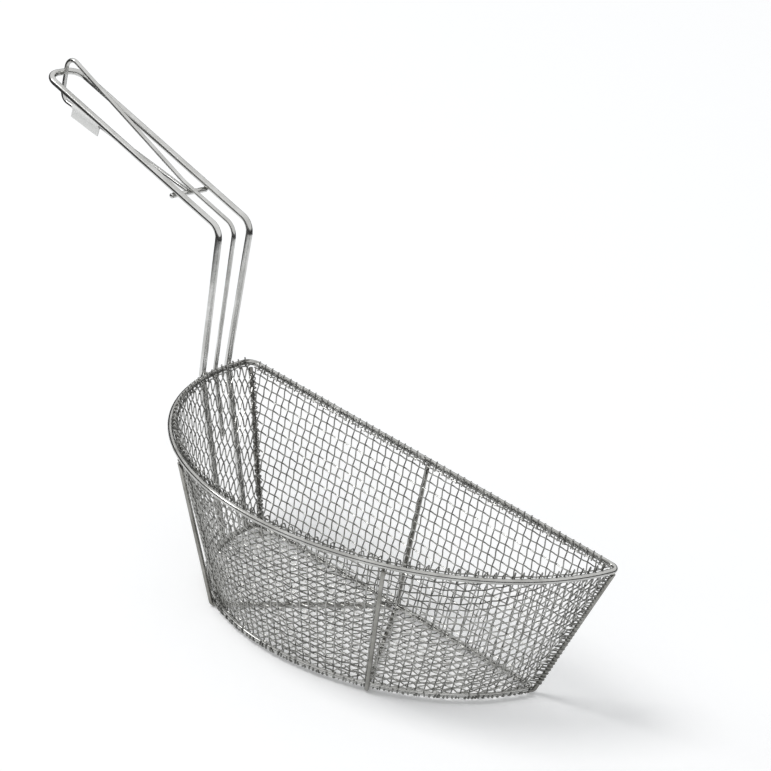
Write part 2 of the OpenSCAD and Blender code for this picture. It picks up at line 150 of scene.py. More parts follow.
class MeshDraft:
    """Collects the points and faces of one piece in millimetres and makes its object."""

    def __init__(self) -> None:
        """Starts an empty draft."""
        self.points: list[Array] = []
        self.faces: list[tuple[int, ...]] = []
        self.count = 0

    def add(self, points: Array, faces: list[tuple[int, ...]]) -> None:
        """Adds points and the faces that use them.

        Args:
            points: The new points, one row each.
            faces: Tuples of indices into those points.
        """
        self.points.append(points)
        self.faces.extend(tuple(i + self.count for i in f) for f in faces)
        self.count += len(points)

    def wire(self, path: Array, d: float, sides: int = 6, closed: bool = False, tip: float = 0.0) -> None:
        """Sweeps a round wire along a path.

        Args:
            path: The centre line, one point a row.
            d: The wire's diameter.
            sides: The number of sides of its section.
            closed: Whether the path is a closed ring.
            tip: How far each end's edge is rounded, as a share of the radius.
        """
        n = len(path)
        if closed:
            along = np.roll(path, -1, 0) - np.roll(path, 1, 0)
        else:
            along = np.gradient(path, axis=0)
        along /= np.linalg.norm(along, axis=1)[:, None]
        side = unit(np.cross(along[0], [0.31, 0.17, 0.93]))
        sides_at = np.empty_like(path)
        for i in range(n):
            side = unit(side - along[i] * (side @ along[i]))
            sides_at[i] = side
        if closed:
            ups = np.cross(along, sides_at)
            back = unit(side - along[0] * (side @ along[0]))
            twist = math.atan2(back @ ups[0], back @ sides_at[0])
            a = -twist * np.arange(n)[:, None] / n
            sides_at = sides_at * np.cos(a) + ups * np.sin(a)
        ups = np.cross(along, sides_at)
        radii = np.full(n, d / 2)
        if tip and not closed:
            step = tip * d / 2
            path = np.vstack([path[0], path[0] + along[0] * step, path[1:-1], path[-1] - along[-1] * step, path[-1]])
            pick = np.r_[0, 0, 1 : n - 1, n - 1, n - 1]
            sides_at, ups, radii = sides_at[pick], ups[pick], radii[pick].copy()
            radii[[0, -1]] *= 1 - tip
            n += 2
        turn = 2 * math.pi * np.arange(sides) / sides
        ring = np.cos(turn)[None, :, None] * sides_at[:, None] + np.sin(turn)[None, :, None] * ups[:, None]
        points = (path[:, None] + ring * radii[:, None, None]).reshape(-1, 3)
        faces = []
        for i in range(n if closed else n - 1):
            p, q = i * sides, (i + 1) % n * sides
            for k in range(sides):
                m = (k + 1) % sides
                faces.append((p + k, p + m, q + m, q + k))
        if not closed:
            faces.append(tuple(range(sides - 1, -1, -1)))
            faces.append(tuple((n - 1) * sides + k for k in range(sides)))
        self.add(points, faces)

    def blob(self, centre: Array, radii: tuple[float, float, float], axis: Array, seed: int) -> None:
        """Adds an uneven little bead of weld metal.

        Args:
            centre: Its middle.
            radii: Its three half lengths, the first along the axis.
            axis: The direction of its first half length.
            seed: Picks its uneven shape.
        """
        rng = np.random.default_rng(seed)
        u = unit(axis)
        v = unit(np.cross(u, [0.2, 0.3, 0.9]))
        w = np.cross(u, v)
        rows, cols = 5, 8
        points = [u * radii[0]]
        for r in range(1, rows):
            t = math.pi * r / rows
            for c in range(cols):
                p = 2 * math.pi * c / cols
                k = rng.uniform(0.9, 1.1)
                points.append(
                    k * (u * radii[0] * math.cos(t) + (v * radii[1] * math.cos(p) + w * radii[2] * math.sin(p)) * math.sin(t))
                )
        points.append(-u * radii[0])
        last = len(points) - 1
        faces: list[tuple[int, ...]] = []
        for c in range(cols):
            d = (c + 1) % cols
            faces.append((0, 1 + c, 1 + d))
            for r in range(rows - 2):
                a = 1 + r * cols
                faces.append((a + c, a + cols + c, a + cols + d, a + d))
            a = 1 + (rows - 2) * cols
            faces.append((a + c, last, a + d))
        self.add(centre + np.array(points), faces)

    def build(self, name: str, material: bpy.types.Material, slot: Slot, nodes: tuple[str, ...]) -> bpy.types.Object:
        """Makes the object, hands it to the frame and logs it.

        Args:
            name: The object's name.
            material: Its finish.
            slot: A material slot name; not used.
            nodes: The solid nodes that it stands for.

        Returns:
            The new object.
        """
        mesh = bpy.data.meshes.new(name)
        mesh.from_pydata((np.vstack(self.points) * MM).tolist(), [], self.faces)
        mesh.update()
        mesh.shade_smooth()
        mesh.set_sharp_from_angle(angle=math.radians(50))
        piece = bpy.data.objects.new(name, mesh)
        bpy.context.scene.collection.objects.link(piece)
        mesh.materials.append(material)
        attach(piece, "root")
        if nodes:
            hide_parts(*nodes)
        LOG.info("%s: %d points, %d faces", name, len(mesh.vertices), len(mesh.polygons))
        return piece


def bend_points(a: Array, b: Array, c: Array, r: float) -> list[Array]:
    """Points of the round bend at b between a and c.

    Args:
        a: The point before the bend.
        b: The corner.
        c: The point after the bend.
        r: The bend radius of the centre line.

    Returns:
        The bend's points, about every six degrees.
    """
    u, w = unit(b - a), unit(c - b)
    turn = math.acos(max(-1.0, min(1.0, float(u @ w))))
    if turn < 1e-3:
        return [b]
    centre = b + unit(w - u) * r / math.cos(turn / 2)
    x = unit(b - u * r * math.tan(turn / 2) - centre)
    steps = max(3, math.ceil(math.degrees(turn) / 6))
    return [centre + r * (x * math.cos(turn * i / steps) + u * math.sin(turn * i / steps)) for i in range(steps + 1)]


def bent_path(points: list[Array], radii: list[float], step: float = 8.0) -> Array:
    """Centre line of a bent wire with evenly cut straight runs.

    Args:
        points: Its corners, ends included.
        radii: A bend radius for each point; the ends' are not used.
        step: The longest straight step.

    Returns:
        The centre line.
    """
    rough = [points[0]]
    for i in range(1, len(points) - 1):
        rough += bend_points(points[i - 1], points[i], points[i + 1], radii[i])
    rough.append(points[-1])
    path = [rough[0]]
    for p in rough[1:]:
        cuts = max(1, math.ceil(float(np.linalg.norm(p - path[-1])) / step))
        start = path[-1]
        path += [start + (p - start) * k / cuts for k in range(1, cuts + 1)]
    return np.array(path)


def half_ring_path(radius: float, flat_y: float, corner: float, z: float) -> Array:
    """Closed centre line of a half-round ring with its flat side at flat_y.

    Args:
        radius: Radius of the round side.
        flat_y: Y of the flat side.
        corner: Bend radius at the two corners.
        z: Height of the ring.

    Returns:
        The ring's points.
    """
    cx = math.sqrt((radius - corner) ** 2 - (flat_y - corner) ** 2)
    dip = math.atan((corner - flat_y) / cx)
    arc = np.linspace(math.pi + dip, 2 * math.pi - dip, 150)
    right = np.linspace(-dip, math.pi / 2, 18)[1:]
    left = np.linspace(math.pi / 2, math.pi + dip, 18)[:-1]
    flat = np.linspace(cx, -cx, 50)[1:-1]
    xs = np.concatenate([radius * np.cos(arc), cx + corner * np.cos(right), flat, -cx + corner * np.cos(left)])
    ys = np.concatenate(
        [
            radius * np.sin(arc),
            flat_y - corner + corner * np.sin(right),
            np.full(len(flat), flat_y),
            flat_y - corner + corner * np.sin(left),
        ]
    )
    return np.c_[xs, ys, np.full(len(xs), z)]


class NodeTree:
    """Places shader nodes in a tree and joins them."""

    def __init__(self, tree: bpy.types.NodeTree) -> None:
        """Keeps the tree that nodes go into."""
        self.tree = tree

    def node(self, kind: str, values: dict | None = None, **inputs: object) -> bpy.types.Node:
        """Adds a node.

        Args:
            kind: The node's type.
            values: The node's own settings.
            inputs: A value or an output socket for each named input, with _ for a space.

        Returns:
            The new node.
        """
        made = self.tree.nodes.new(kind)
        for key, value in (values or {}).items():
            setattr(made, key, value)
        for key, value in inputs.items():
            name = key.replace("_", " ")
            socket = made.inputs[int(key[1:])] if key[1:].isdigit() else made.inputs[name]
            if isinstance(value, bpy.types.NodeSocket):
                self.tree.links.new(value, socket)
            else:
                socket.default_value = value
        return made


def tarnish_group() -> bpy.types.NodeTree:
    """Makes the group of uneven plating: a cloudy mask and fine drawn scratches.

    Returns:
        The shader node group, with the inputs Scale and Amount and the outputs Mask and Height.
    """
    group = bpy.data.node_groups.new("uneven_plating", "ShaderNodeTree")
    for name, default in (("Scale", 60.0), ("Amount", 0.5)):
        group.interface.new_socket(name, in_out="INPUT", socket_type="NodeSocketFloat").default_value = default
    for name in ("Mask", "Height"):
        group.interface.new_socket(name, in_out="OUTPUT", socket_type="NodeSocketFloat")
    t = NodeTree(group)
    given = t.node("NodeGroupInput")
    place = t.node("ShaderNodeTexCoord").outputs["Object"]
    cloud = t.node("ShaderNodeTexNoise", Vector=place, Scale=given.outputs["Scale"], Detail=5.0, Roughness=0.62)
    mask = t.node("ShaderNodeMath", {"operation": "MULTIPLY"}, _0=cloud.outputs["Fac"], _1=given.outputs["Amount"])
    fine = t.node("ShaderNodeMath", {"operation": "MULTIPLY"}, _0=given.outputs["Scale"], _1=14.0)
    grain = t.node("ShaderNodeTexNoise", Vector=place, Scale=fine.outputs[0], Detail=3.0, Roughness=0.7)
    t.node("NodeGroupOutput", Mask=mask.outputs[0], Height=grain.outputs["Fac"])
    return group


@dataclass(frozen=True)
class PlatedFinish:
    """Nickel plating over steel wire, cloudy where it has dulled."""

    name: str
    bright: tuple[float, float, float]
    dull: tuple[float, float, float]
    smooth: float
    rough: float
    scale: float
    bump: float

    def material(self, plating: bpy.types.NodeTree) -> bpy.types.Material:
        """Makes the material.

        Args:
            plating: The group of uneven plating.

        Returns:
            The new material.
        """
        made = bpy.data.materials.new(self.name)
        made.use_nodes = True
        made.node_tree.nodes.clear()
        t = NodeTree(made.node_tree)
        worn = t.node("ShaderNodeGroup", {"node_tree": plating}, Scale=self.scale, Amount=1.0)
        level = t.node("ShaderNodeMapRange", Value=worn.outputs["Mask"], _1=0.34, _2=0.66)
        colour = t.node("ShaderNodeMix", {"data_type": "RGBA"}, _0=level.outputs[0])
        colour.inputs[6].default_value = (*self.bright, 1)
        colour.inputs[7].default_value = (*self.dull, 1)
        gloss = t.node("ShaderNodeMapRange", Value=worn.outputs["Mask"], _1=0.3, _2=0.7, _3=self.smooth, _4=self.rough)
        bump = t.node("ShaderNodeBump", Strength=self.bump, Distance=0.0002, Height=worn.outputs["Height"])
        shader = t.node(
            "ShaderNodeBsdfPrincipled",
            Base_Color=colour.outputs[2],
            Metallic=1.0,
            Roughness=gloss.outputs[0],
            Normal=bump.outputs[0],
        )
        t.node("ShaderNodeOutputMaterial", Surface=shader.outputs[0])
        return made


@dataclass(frozen=True)
class FilmFinish:
    """White plastic film of the blank tag."""

    name: str = "white_film"
    colour: tuple[float, float, float] = (0.86, 0.86, 0.84)
    shade: tuple[float, float, float] = (0.70, 0.70, 0.69)

    def material(self, plating: bpy.types.NodeTree) -> bpy.types.Material:
        """Makes the material.

        Args:
            plating: The group of uneven plating, used for the film's soft mottling.

        Returns:
            The new material.
        """
        made = bpy.data.materials.new(self.name)
        made.use_nodes = True
        made.node_tree.nodes.clear()
        t = NodeTree(made.node_tree)
        cloud = t.node("ShaderNodeGroup", {"node_tree": plating}, Scale=90.0, Amount=0.6)
        colour = t.node("ShaderNodeMix", {"data_type": "RGBA"}, _0=cloud.outputs["Mask"])
        colour.inputs[6].default_value = (*self.colour, 1)
        colour.inputs[7].default_value = (*self.shade, 1)
        bump = t.node("ShaderNodeBump", Strength=0.25, Distance=0.0002, Height=cloud.outputs["Height"])
        shader = t.node(
            "ShaderNodeBsdfPrincipled", Base_Color=colour.outputs[2], Roughness=0.42, Normal=bump.outputs[0]
        )
        t.node("ShaderNodeOutputMaterial", Surface=shader.outputs[0])
        return made


@dataclass
class Finishes:
    """Every finish of the basket, made once."""

    wire: bpy.types.Material = field(init=False)
    dull_wire: bpy.types.Material = field(init=False)
    painted_shade_wire: bpy.types.Material = field(init=False)
    mesh: bpy.types.Material = field(init=False)
    hem: bpy.types.Material = field(init=False)
    weld: bpy.types.Material = field(init=False)
    film: bpy.types.Material = field(init=False)

    def __post_init__(self) -> None:
        """Makes the materials."""
        plating = tarnish_group()
        self.wire = PlatedFinish("plated_wire", (0.66, 0.66, 0.65), (0.48, 0.48, 0.465), 0.13, 0.22, 45, 0.03).material(plating)
        self.dull_wire = PlatedFinish("rim_wire", (0.58, 0.58, 0.565), (0.36, 0.36, 0.345), 0.14, 0.24, 60, 0.03).material(plating)
        # Posts and cradle wires: a much darker copy of the same plating, which paints shade on them rather than being a
        # different metal.
        self.painted_shade_wire = PlatedFinish("cradle_wire", (0.36, 0.355, 0.335), (0.2, 0.197, 0.18), 0.16, 0.28, 60, 0.03).material(plating)
        self.mesh = PlatedFinish("plated_mesh", (0.46, 0.46, 0.445), (0.27, 0.27, 0.256), 0.16, 0.3, 70, 0.04).material(plating)
        # Folded hem and rolled ends: a darker copy of the mesh plating, which paints the shade among the crowded folded
        # wires.
        self.hem = PlatedFinish("folded_mesh_painted_shade", (0.38, 0.38, 0.365), (0.19, 0.19, 0.18), 0.2, 0.36, 110, 0.05).material(plating)
        self.weld = PlatedFinish("weld_metal", (0.26, 0.255, 0.235), (0.13, 0.126, 0.115), 0.3, 0.5, 300, 0.4).material(plating)
        self.film = FilmFinish().material(plating)


@dataclass
class FrameWires:
    """The heavy wires that carry the mesh: rim, base hoop, posts and cradle wires."""

    sizes: BasketSizes

    def corner(self, side: int, radius: float, flat_y: float, z: float) -> Array:
        """The outermost point of a ring's bent corner."""
        r = self.sizes.corner
        cx = math.sqrt((radius - r) ** 2 - (flat_y - r) ** 2)
        out = r / math.sqrt(2)
        return np.array([side * (cx + out), flat_y - r + out, z])

    def foot(self, top: Array, beside: Array) -> Array:
        """Where the line from top past the hoop reaches the level of the under wires."""
        return top + (beside - top) * (top[2] - self.sizes.cradle_z) / (top[2] - beside[2])

    def cradle_top(self, angle: float) -> Array:
        """Top end of a cradle wire at an angle from the middle of the round side."""
        s, a = self.sizes, math.radians(angle)
        drop = (s.rim_d + s.cradle_d) / 2 + s.weld
        return np.array([s.rim_radius * math.sin(a), -s.rim_radius * math.cos(a), s.rim_z - drop])

    def cradle_foot(self, angle: float) -> Array:
        """Where a cradle wire turns up outside the round side of the hoop."""
        s, a = self.sizes, math.radians(angle)
        r = s.base_radius + s.hoop_pass
        return self.foot(self.cradle_top(angle), np.array([r * math.sin(a), -r * math.cos(a), s.hoop_z]))

    def flat_ends(self) -> tuple[Array, Array]:
        """Top and foot of the wire at the middle of the flat wall."""
        s = self.sizes
        top = np.array([0.0, 0.0, s.rim_z - (s.rim_d + s.cradle_d) / 2 - s.weld])
        return top, self.foot(top, np.array([0.0, s.hoop_pass - s.lean, s.hoop_z]))

    def build(self, finish: Finishes) -> None:
        """Builds the six frame wires.

        Args:
            finish: The basket's finishes.
        """
        s = self.sizes
        for name, radius, y, d, z in (
            ("rim_wire", s.rim_radius, 0.0, s.rim_d, s.rim_z),
            ("base_hoop", s.base_radius, -s.lean, s.hoop_d, s.hoop_z),
        ):
            draft = MeshDraft()
            draft.wire(half_ring_path(radius, y, s.corner, z), d, 20, closed=True)
            draft.build(f"{name}_smooth", finish.dull_wire, Slot.WIRE, (name,))
        for name, side in (("front_post", 1), ("back_post", -1)):
            self.build_post(name, side, finish)
        flat_top, flat_foot = self.flat_ends()
        draft = MeshDraft()
        points = [flat_top, flat_foot, self.cradle_foot(s.front_spread), self.cradle_top(s.front_spread)]
        draft.wire(bent_path(points, [0, s.foot_bend, s.foot_bend, 0]), s.cradle_d, 16, tip=0.3)
        draft.build("front_cradle_wire_smooth", finish.painted_shade_wire, Slot.WIRE, ("front_cradle_wire",))
        foot = self.cradle_foot(-s.side_spread)
        along = unit(foot - flat_foot)
        between = math.acos(float(along @ unit(self.cradle_foot(s.front_spread) - flat_foot)))
        start = flat_foot + along * (s.cradle_d + s.weld) / math.sin(between)
        path = bent_path([start, foot, self.cradle_top(-s.side_spread)], [0, s.foot_bend, 0])
        draft = MeshDraft()
        draft.wire(path, s.cradle_d, 16, tip=0.3)
        draft.build("side_cradle_wire_smooth", finish.painted_shade_wire, Slot.WIRE, ("side_cradle_wire",))

    def build_post(self, name: str, side: int, finish: Finishes) -> None:
        """Builds a corner post with its hook under the base.

        Args:
            name: The post's node.
            side: 1 at +X and -1 at -X.
            finish: The basket's finishes.
        """
        s = self.sizes
        out = np.array([side, 1, 0]) / math.sqrt(2)
        top = self.corner(side, s.rim_radius, 0.0, s.rim_z - (s.rim_d + s.cradle_d) / 2 - s.weld)
        beside = self.corner(side, s.base_radius, -s.lean, s.hoop_z) + out * s.hoop_pass
        foot = self.foot(top, beside)
        draft = MeshDraft()
        draft.wire(bent_path([top, foot, foot - out * s.post_hook], [0, s.foot_bend, 0]), s.cradle_d, 16, tip=0.35)
        draft.build(f"{name}_smooth", finish.painted_shade_wire, Slot.WIRE, (name,))


@dataclass
class Handle:
    """The long handle: the outer loop, the wire up its middle, the crossbar and the tag."""

    sizes: BasketSizes
    wire_d: float = 4.8
    inner_d: float = 3.2
    bar_d: float = 3.8
    offset: float = 35.0
    width: float = 30.0
    rise: float = 107.0
    reach: float = 182.0
    length: float = 198.0
    slope: float = math.radians(12.6)
    bend: float = 11.0
    leg_bend: float = 8.0
    tip: float = 10.5
    bar_at: float = 49.0
    bar_stub: float = 3.0
    loop_rise: float = 15.4
    loop_drop: float = 33.8
    loop_bend: float = 7.0
    leg_share: float = 0.42
    label_length: float = 30.0
    label_height: float = 8.0
    label_at: float = 13.0

    def grip(self, along: float, up: float) -> Array:
        """Place on the grip, by distance from the bends and height over the outer wires."""
        c, s = math.cos(self.slope), math.sin(self.slope)
        z = self.sizes.rim_z + self.rise
        return np.array([-self.reach - along * c + up * s, -self.offset, z + along * s + up * c])

    def leg_rim(self, y: float, d: float) -> Array:
        """Where a leg passes outside the rim."""
        s = self.sizes
        r = s.rim_radius + ((s.rim_d + d) / 2 + s.weld) / math.cos(s.slope)
        return np.array([-math.sqrt(r * r - y * y), y, s.rim_z])

    def leg_low(self, y: float, d: float, frame_d: float, z: float) -> Array:
        """Lower end of a leg that follows the round wall."""
        s = self.sizes
        r = s.radius_at(z) + ((frame_d + d) / 2 + s.weld) / math.cos(s.slope)
        return np.array([-math.sqrt(r * r - y * y), y, z])

    def loop_points(self) -> tuple[Array, Array, Array, Array]:
        """The inner loop's top corner, low corner and home on the crossbar, and its end."""
        bar_h = -(self.wire_d + self.bar_d) / 2 - self.sizes.weld
        x = -self.reach - self.length * math.cos(self.slope) + (self.wire_d + self.inner_d) / 2 + self.sizes.weld
        top = np.array([x, -self.offset, self.grip(self.length, 0)[2] + self.loop_rise])
        low = top - np.array([0, 0, self.loop_drop])
        home = self.grip(self.bar_at, bar_h)
        return top, low, home, home + unit(low - home) * (self.bar_d / 2 + self.sizes.weld)

    def build(self, finish: Finishes) -> None:
        """Builds the handle's wires and its tag.

        Args:
            finish: The basket's finishes.
        """
        s = self.sizes
        half = np.array([0, self.width / 2, 0])
        left, right = -self.offset - self.width / 2, -self.offset + self.width / 2
        leg_z = s.hoop_z - s.hoop_d / 4
        outer = MeshDraft()
        points = [
            self.leg_low(left, self.wire_d, s.hoop_d, leg_z),
            self.leg_rim(left, self.wire_d),
            self.grip(0, 0) - half,
            self.grip(self.length, 0) - half,
            self.grip(self.length, 0) + half,
            self.grip(0, 0) + half,
            self.leg_rim(right, self.wire_d),
            self.leg_low(right, self.wire_d, s.hoop_d, leg_z),
        ]
        radii = [0, self.leg_bend, self.bend, self.tip, self.tip, self.bend, self.leg_bend, 0]
        outer.wire(bent_path(points, radii), self.wire_d, 20, tip=0.25)
        outer.build("handle_outer_wire_smooth", finish.wire, Slot.WIRE, ("handle_outer_wire",))

        top, low, home, end = self.loop_points()
        bar_h = -(self.wire_d + self.bar_d) / 2 - s.weld
        inner_h = bar_h + (self.bar_d + self.inner_d) / 2 + s.weld
        leg_end = s.rim_z - self.leg_share * s.depth
        inner = MeshDraft()
        points = [
            self.leg_low(-self.offset, self.inner_d, s.rim_d, leg_end),
            self.leg_rim(-self.offset, self.inner_d),
            self.grip(0, inner_h),
            self.grip(self.bar_at + 2 * self.bar_d, inner_h),
            top,
            low,
            end,
        ]
        radii = [0, self.leg_bend, self.bend, 2 * self.bend, self.loop_bend, self.loop_bend, 0]
        inner.wire(bent_path(points, radii), self.inner_d, 16, tip=0.25)
        inner.build("handle_inner_wire_smooth", finish.wire, Slot.WIRE, ("handle_inner_wire",))

        bar = MeshDraft()
        start = home + np.array([0, self.width / 2 + self.wire_d / 4, 0])
        stop = home - np.array([0, self.width / 2 + self.bar_stub, 0])
        bar.wire(bent_path([start, stop], [0, 0], 4), self.bar_d, 16, tip=0.35)
        bar.build("handle_crossbar_smooth", finish.wire, Slot.WIRE, ("handle_crossbar",))
        self.build_label(low, home, finish)

    def build_label(self, low: Array, home: Array, finish: Finishes) -> None:
        """Builds the blank folded tag on the lower strand.

        Args:
            low: The loop's low corner.
            home: The middle of the crossbar.
            finish: The basket's finishes.
        """
        back = unit(home - low)
        start = low + back * self.label_at
        side = np.array([0.0, 1.0, 0.0])
        down = unit(np.cross(side, back))
        down = down if down[2] < 0 else -down
        r = self.inner_d / 2 + self.sizes.weld + 0.2
        outline: list[tuple[float, float]] = []
        drop = self.label_height + 0.3
        flat = 0.22
        for t in np.linspace(-1, 1, 25):
            a = t * math.radians(158)
            outline.append((r * math.sin(a), -r * math.cos(a)))
        outline = [(-flat, drop)] + [(-flat, r + 0.9)] + outline + [(flat, r + 0.9), (flat, drop)]
        stations = np.linspace(0, 1, 22)
        draft = MeshDraft()
        thick = 0.32
        across = np.array(outline)
        normal = np.gradient(across, axis=0)
        normal = np.c_[normal[:, 1], -normal[:, 0]]
        normal /= np.linalg.norm(normal, axis=1)[:, None]
        rows = []
        for t in stations:
            curl = 0.35 * math.sin(5.2 * t + 0.6)
            ring = []
            for p in np.vstack([across + normal * thick / 2, (across - normal * thick / 2)[::-1]]):
                hang = max(0.0, p[1] - r) / self.label_height
                y = p[0] + curl * hang * hang
                ring.append(start + back * (t * self.label_length) + side * y + down * p[1])
            rows.append(ring)
        n = len(rows[0])
        points = np.array(rows).reshape(-1, 3)
        faces = [
            (i * n + k, i * n + (k + 1) % n, (i + 1) * n + (k + 1) % n, (i + 1) * n + k)
            for i in range(len(stations) - 1)
            for k in range(n)
        ]
        half = n // 2
        for base in (0, (len(stations) - 1) * n):
            for k in range(half - 1):
                faces.append((base + k, base + k + 1, base + n - 2 - k, base + n - 1 - k))
        draft.add(points, faces)
        draft.build("handle_label_film", finish.film, Slot.LABEL, ("handle_label",))


def runs(inside: Array) -> list[tuple[int, int]]:
    """First and last index of each unbroken run of true values, two or more long."""
    found, start = [], None
    for i, ok in enumerate(list(inside) + [False]):
        if ok and start is None:
            start = i
        if not ok and start is not None:
            if i - start > 1:
                found.append((start, i - 1))
            start = None
    return found


@dataclass
class WovenWall:
    """Shared ways of weaving a wall: crimp, clipping and uneven wires."""

    sizes: BasketSizes
    cuts: int = 4
    uneven: float = 0.12

    def crimp(self, across: Array, line: int, family: Family) -> Array:
        """Height of a wire over the wall's mid surface where it passes over and under.

        Args:
            across: Distance along the wire in pitches.
            line: The wire's number.
            family: The set that it belongs to.

        Returns:
            The height at each place, in millimetres.
        """
        return family.value * (-1) ** line * np.cos(np.pi * across) * self.sizes.mesh_wire * 0.46


@dataclass
class FlatWall(WovenWall):
    """The woven flat wall, square to the rim."""

    def place(self, u: Array, v: Array, h: Array) -> Array:
        """Points of the flat wall, from distances along it, up its slope and inwards."""
        s = self.sizes
        c, k = math.cos(s.flat_slope), math.sin(s.flat_slope)
        inward = -(s.mesh_inset + h)
        return np.c_[u, -s.lean + inward * c + v * k, s.hoop_z - inward * k + v * c]

    def inside(self, points: Array) -> Array:
        """Whether each point lies within the round wall and above the base."""
        s = self.sizes
        radius = np.hypot(points[:, 0], points[:, 1])
        limit = s.base_radius + (points[:, 2] - s.hoop_z) * math.tan(s.slope) - s.mesh_inset / math.cos(s.slope)
        return (radius <= limit) & (points[:, 2] >= s.base_z + 0.4)

    def build(self, finish: Finishes) -> None:
        """Weaves the wall.

        Args:
            finish: The basket's finishes.
        """
        s, draft, rng = self.sizes, MeshDraft(), np.random.default_rng(4)
        top = s.depth / math.cos(s.flat_slope) - 0.5
        count = int(s.rim_radius / s.pitch)
        for i in range(-count, count + 1):
            n = np.arange(-0.5, top / s.pitch + 0.01, 1 / self.cuts)
            wander = self.uneven * np.sin(n * 0.7 + rng.uniform(0, 6))
            p = self.place((i + 0.25) * s.pitch + wander, n * s.pitch, self.crimp(n, i, Family.WARP))
            for a, b in runs(self.inside(p)):
                draft.wire(p[a : b + 1], s.mesh_wire)
        for j in range(int(top / s.pitch) + 1):
            n = np.arange(-count - 1, count + 1.01, 1 / self.cuts)
            wander = self.uneven * np.sin(n * 0.35 + rng.uniform(0, 6))
            p = self.place((n + 0.25) * s.pitch, j * s.pitch + wander, self.crimp(n, j, Family.WEFT))
            for a, b in runs(self.inside(p)):
                draft.wire(p[a : b + 1], s.mesh_wire)
        draft.build("flat_wall_weave", finish.mesh, Slot.MESH, ("flat_wall_mesh",))


@dataclass
class RoundWall(WovenWall):
    """The woven round wall, whose squares shear into diamonds towards its ends."""

    cell: float = 6.65
    angles: tuple[float, ...] = (0, 48, 55, 65, 75, 85, 100)
    leans: tuple[float, ...] = (0, 0, 1, 6, 10, 14.5, 19)
    climbs: tuple[float, ...] = (0, 2, 9, 23, 32, 51, 58)
    last: int = 54

    @property
    def mid_radius(self) -> float:
        """Radius halfway up the wall, where the columns stand a cell apart."""
        return (self.sizes.rim_radius + self.sizes.base_radius) / 2

    def shear(self, m: Array) -> tuple[Array, Array, Array]:
        """How the weave shears at a column, with every cell's sides kept as long.

        Args:
            m: Column numbers, which may be fractions.

        Returns:
            The columns' distance from the middle, their lean in radians, and how far the rows
            have climbed along them.
        """
        step, x, climb = 0.1, 0.0, 0.0
        found = [(0.0, 0.0, 0.0)]
        for _ in range(int(self.last / step) + 1):
            angle = math.degrees(x / self.mid_radius)
            lean = math.radians(np.interp(angle, self.angles, self.leans))
            rise = math.radians(np.interp(angle, self.angles, self.climbs))
            x += step * self.cell * math.cos(rise - lean) / math.cos(lean)
            climb += step * self.cell * math.sin(rise) / math.cos(lean)
            found.append((x, lean, climb))
        xs, leans, climbs = (np.interp(np.abs(m), np.arange(len(found)) * step, v) for v in zip(*found))
        return np.sign(m) * xs, np.sign(m) * leans, climbs

    def place(self, x: Array, t: Array, lean: Array, h: Array) -> Array:
        """Points of the round wall.

        Args:
            x: Distances of the columns from the middle, at half height.
            t: Distances up the columns from half height.
            lean: The columns' lean.
            h: Heights inwards from the mid surface.

        Returns:
            The points.
        """
        s = self.sizes
        length = s.depth / math.cos(s.slope)
        up = length / 2 + t * np.cos(lean)
        theta = (x - t * np.sin(lean)) / self.mid_radius - math.pi / 2
        inward = s.mesh_inset + h
        r = s.base_radius + up * math.sin(s.slope) - inward * math.cos(s.slope)
        z = s.hoop_z + up * math.cos(s.slope) + inward * math.sin(s.slope)
        return np.c_[r * np.cos(theta), r * np.sin(theta), z]

    def inside(self, points: Array) -> Array:
        """Whether each point lies between the base and the rim, behind the flat wall."""
        s = self.sizes
        flat = -s.lean + (points[:, 2] - s.hoop_z) * math.tan(s.flat_slope) - s.mesh_inset / math.cos(s.flat_slope)
        return (points[:, 1] <= flat) & (points[:, 2] >= s.base_z + 0.6) & (points[:, 2] <= s.rim_z - 0.3)

    def build(self, finish: Finishes) -> None:
        """Weaves the wall.

        Args:
            finish: The basket's finishes.
        """
        s, draft, rng = self.sizes, MeshDraft(), np.random.default_rng(9)
        half = s.depth / math.cos(s.slope) / 2 / self.cell / math.cos(math.radians(self.leans[-1])) + 1
        for i in range(-self.last, self.last + 1):
            x, lean, climb = self.shear(np.array([float(i)]))
            n = np.arange(math.floor(-half), half, 1 / self.cuts)
            wander = self.uneven * np.sin(n * 0.6 + rng.uniform(0, 6))
            height = self.crimp(n - climb[0] / self.cell, i, Family.WARP)
            p = self.place(x[0] + wander, n * self.cell, np.full(len(n), lean[0]), height)
            for a, b in runs(self.inside(p)):
                draft.wire(p[a : b + 1], s.mesh_wire)
        m = np.arange(-self.last * self.cuts, self.last * self.cuts + 1) / self.cuts
        x, lean, climb = self.shear(m)
        start = math.floor(-half - climb.max() / self.cell)
        for j in range(start, math.ceil(half)):
            wander = self.uneven * np.sin(m * 0.4 + rng.uniform(0, 6))
            p = self.place(x, j * self.cell + climb + wander, lean, self.crimp(m, j, Family.WEFT))
            for a, b in runs(self.inside(p)):
                draft.wire(p[a : b + 1], s.mesh_wire)
        draft.build("round_wall_weave", finish.mesh, Slot.MESH, ("round_wall_mesh",))


